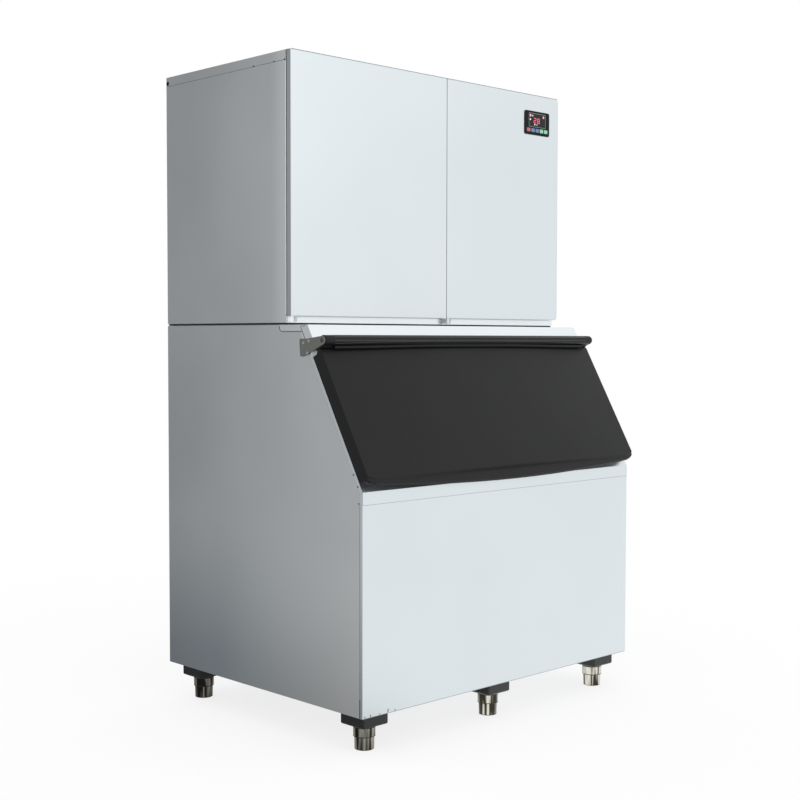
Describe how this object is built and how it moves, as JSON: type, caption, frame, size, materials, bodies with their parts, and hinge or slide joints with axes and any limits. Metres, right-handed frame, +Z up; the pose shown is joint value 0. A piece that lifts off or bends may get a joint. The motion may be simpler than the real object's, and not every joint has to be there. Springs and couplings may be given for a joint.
{
  "type": "commercial cube ice maker",
  "caption": "Commercial cube ice machine: a two-door stainless ice-making head on a wide insulated storage bin with a sloping black lid and adjustable legs.",
  "frame": {"origin": "On the floor, under the middle of the whole machine's bounding box.", "axes": "+X to the right seen from the front, +Y to the back, +Z up; the doors and the bin's lid face -Y."},
  "size_m": [1.2292, 1.0357, 2.0359],
  "materials": {
    "stainless_front": "satin",
    "stainless_side": "satin",
    "galvanised": "satin",
    "foam": "matte",
    "white_plastic": "satin",
    "black_plastic": "satin",
    "black_lid": "satin",
    "black_panel": "gloss",
    "grey_plastic": "satin",
    "rubber": "matte",
    "chrome": "polished",
    "black_enamel": "gloss",
    "aluminium": "satin",
    "copper": "satin",
    "brass": "satin",
    "red_key": "satin",
    "blue_key": "satin",
    "green_key": "satin"
  },
  "bodies": {
    "cabinet": {"bin_left_side": "stainless_side", "bin_right_side": "stainless_side", "bin_base_panel": "galvanised", "bin_back_panel": "galvanised", "bin_front_panel": "stainless_front", "bin_front_rail": "stainless_front", "bin_top_deck": "stainless_side", "bin_header": "stainless_front", "bin_insulation": "foam", "bin_liner": "white_plastic", "mouth_frame": "stainless_front", "bin_drain_outlet": "white_plastic", "lid_bracket_left": "grey_plastic", "lid_bracket_right": "grey_plastic", "leg_1": "black_plastic", "leg_2": "black_plastic", "leg_3": "black_plastic", "leg_4": "black_plastic", "leg_5": "black_plastic", "leg_6": "black_plastic", "head_gasket": "rubber", "head_base_pan": "stainless_front", "head_left_side": "stainless_side", "head_right_side": "stainless_side", "head_back_panel": "galvanised", "head_top_cover": "stainless_side", "head_partition": "white_plastic", "left_door_hinge": "stainless_front", "right_door_hinge": "stainless_front", "evaporator_grid": "chrome", "evaporator_coil": "copper", "water_distributor": "white_plastic", "water_trough": "white_plastic", "circulation_pump": "black_plastic", "pump_hose": "rubber", "compressor": "black_enamel", "condenser": "aluminium", "fan_motor": "black_enamel", "electrical_box": "galvanised", "discharge_pipe": "copper", "suction_pipe": "copper", "water_inlet": "brass", "cable_gland": "black_plastic"},
    "lid": {"lid": "black_lid"},
    "left_door": {"left_door": "stainless_front"},
    "right_door": {"right_door": "stainless_front", "control_fascia": "black_panel"},
    "key_1": {"key_1": "red_key"},
    "key_2": {"key_2": "blue_key"},
    "key_3": {"key_3": "blue_key"},
    "key_4": {"key_4": "green_key"},
    "key_5": {"key_5": "green_key"},
    "foot_1": {"foot_1": "chrome"},
    "foot_2": {"foot_2": "chrome"},
    "foot_3": {"foot_3": "chrome"},
    "foot_4": {"foot_4": "chrome"},
    "foot_5": {"foot_5": "chrome"},
    "foot_6": {"foot_6": "chrome"},
    "fan": {"fan_blade": "black_plastic"},
    "curtain": {"water_curtain": "white_plastic"}
  },
  "joints": [
    {"name": "lid_hinge", "type": "hinge", "parent": "cabinet", "child": "lid", "pos_m": [0, -0.3069, 1.184], "axis": [1, 0, 0], "range_deg": [-160, 0]},
    {"name": "left_door_hinge_turn", "type": "hinge", "parent": "cabinet", "child": "left_door", "pos_m": [-0.602, -0.1568, 1.6439], "axis": [0, 0, -1], "range_deg": [0, 110]},
    {"name": "right_door_hinge_turn", "type": "hinge", "parent": "cabinet", "child": "right_door", "pos_m": [0.0565, -0.1568, 1.6439], "axis": [0, 0, -1], "range_deg": [0, 110]},
    {"name": "key_1_press", "type": "slide", "parent": "right_door", "child": "key_1", "axis": [0, 1, 0], "range_m": [0, 0.001], "stiffness_N_per_m": 1000},
    {"name": "key_2_press", "type": "slide", "parent": "right_door", "child": "key_2", "axis": [0, 1, 0], "range_m": [0, 0.001], "stiffness_N_per_m": 1000},
    {"name": "key_3_press", "type": "slide", "parent": "right_door", "child": "key_3", "axis": [0, 1, 0], "range_m": [0, 0.001], "stiffness_N_per_m": 1000},
    {"name": "key_4_press", "type": "slide", "parent": "right_door", "child": "key_4", "axis": [0, 1, 0], "range_m": [0, 0.001], "stiffness_N_per_m": 1000},
    {"name": "key_5_press", "type": "slide", "parent": "right_door", "child": "key_5", "axis": [0, 1, 0], "range_m": [0, 0.001], "stiffness_N_per_m": 1000},
    {"name": "foot_1_adjust", "type": "slide", "parent": "cabinet", "child": "foot_1", "axis": [0, 0, -1], "range_m": [0, 0.025]},
    {"name": "foot_2_adjust", "type": "slide", "parent": "cabinet", "child": "foot_2", "axis": [0, 0, -1], "range_m": [0, 0.025]},
    {"name": "foot_3_adjust", "type": "slide", "parent": "cabinet", "child": "foot_3", "axis": [0, 0, -1], "range_m": [0, 0.025]},
    {"name": "foot_4_adjust", "type": "slide", "parent": "cabinet", "child": "foot_4", "axis": [0, 0, -1], "range_m": [0, 0.025]},
    {"name": "foot_5_adjust", "type": "slide", "parent": "cabinet", "child": "foot_5", "axis": [0, 0, -1], "range_m": [0, 0.025]},
    {"name": "foot_6_adjust", "type": "slide", "parent": "cabinet", "child": "foot_6", "axis": [0, 0, -1], "range_m": [0, 0.025]},
    {"name": "fan_spin", "type": "hinge", "parent": "cabinet", "child": "fan", "pos_m": [0.3398, 0.3979, 1.4367], "axis": [0, 1, 0], "continuous": true},
    {"name": "curtain_swing", "type": "hinge", "parent": "cabinet", "child": "curtain", "pos_m": [-0.2851, 0.05, 1.8457], "axis": [-1, 0, 0], "range_deg": [0, 20]}
  ]
}
